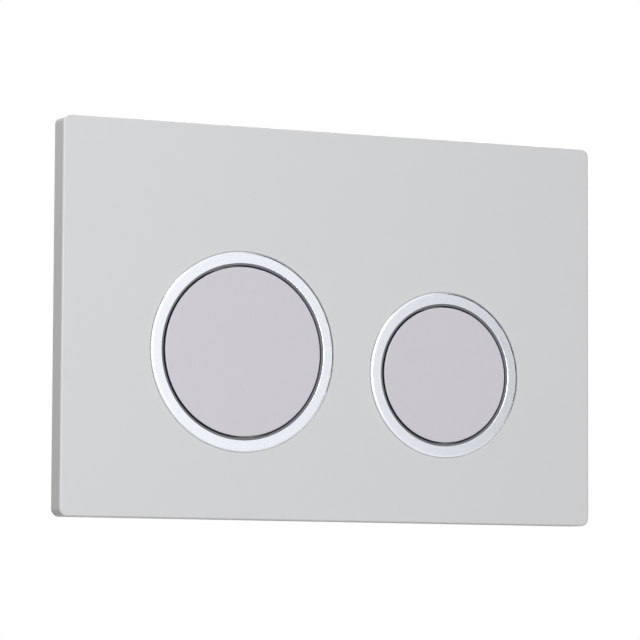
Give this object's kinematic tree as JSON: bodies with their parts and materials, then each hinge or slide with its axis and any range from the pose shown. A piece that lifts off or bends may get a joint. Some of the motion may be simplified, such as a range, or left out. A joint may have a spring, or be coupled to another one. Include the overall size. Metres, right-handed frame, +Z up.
{
  "type": "flush button plate",
  "caption": "Satin wall plate for a concealed cistern, with a large and a small round sprung button in bright rings, push rods, a hidden wall frame and fixing bolts.",
  "frame": {"origin": "on the wall face, midway between the two fixing bolts", "axes": "+X to the right seen from the room, +Y into the wall along the bolts and push rods, +Z up"},
  "size_m": [0.246, 0.0857, 0.164],
  "materials": {
    "satin_shell": "satin silver-grey lacquer",
    "satin_button": "satin silver-grey lacquer, a shade darker",
    "bright_ring": "brushed bright chrome",
    "natural_acetal": "natural white acetal",
    "white_moulding": "white moulded plastic",
    "grey_moulding": "light grey moulded plastic",
    "spring_steel": "drawn stainless wire",
    "zinc_steel": "bright zinc plate",
    "buffer_rubber": "black rubber"
  },
  "bodies": {
    "housing": {"front_plate": "satin_shell", "large_trim_ring": "bright_ring", "small_trim_ring": "bright_ring", "button_carrier": "white_moulding", "carrier_screws": "zinc_steel", "mounting_frame": "grey_moulding", "fixing_bolts": "zinc_steel", "bolt_washers": "zinc_steel", "large_return_spring": "spring_steel", "small_return_spring": "spring_steel"},
    "large_button": {"large_button_cap": "satin_button", "large_plunger": "natural_acetal", "large_buffer_ring": "buffer_rubber", "large_stem_clip": "spring_steel", "large_push_rod": "natural_acetal", "large_lock_nut": "zinc_steel"},
    "small_button": {"small_button_cap": "satin_button", "small_plunger": "natural_acetal", "small_buffer_ring": "buffer_rubber", "small_stem_clip": "spring_steel", "small_push_rod": "natural_acetal", "small_lock_nut": "zinc_steel"}
  },
  "joints": [
    {"name": "large_button_press", "type": "slide", "parent": "housing", "child": "large_button", "axis": [0, 1, 0], "range_m": [0, 0.005], "stiffness_N_per_m": 900, "springref_m": -0.004, "deforming": ["large_return_spring"]},
    {"name": "small_button_press", "type": "slide", "parent": "housing", "child": "small_button", "axis": [0, 1, 0], "range_m": [0, 0.005], "stiffness_N_per_m": 900, "springref_m": -0.004, "deforming": ["small_return_spring"]}
  ]
}
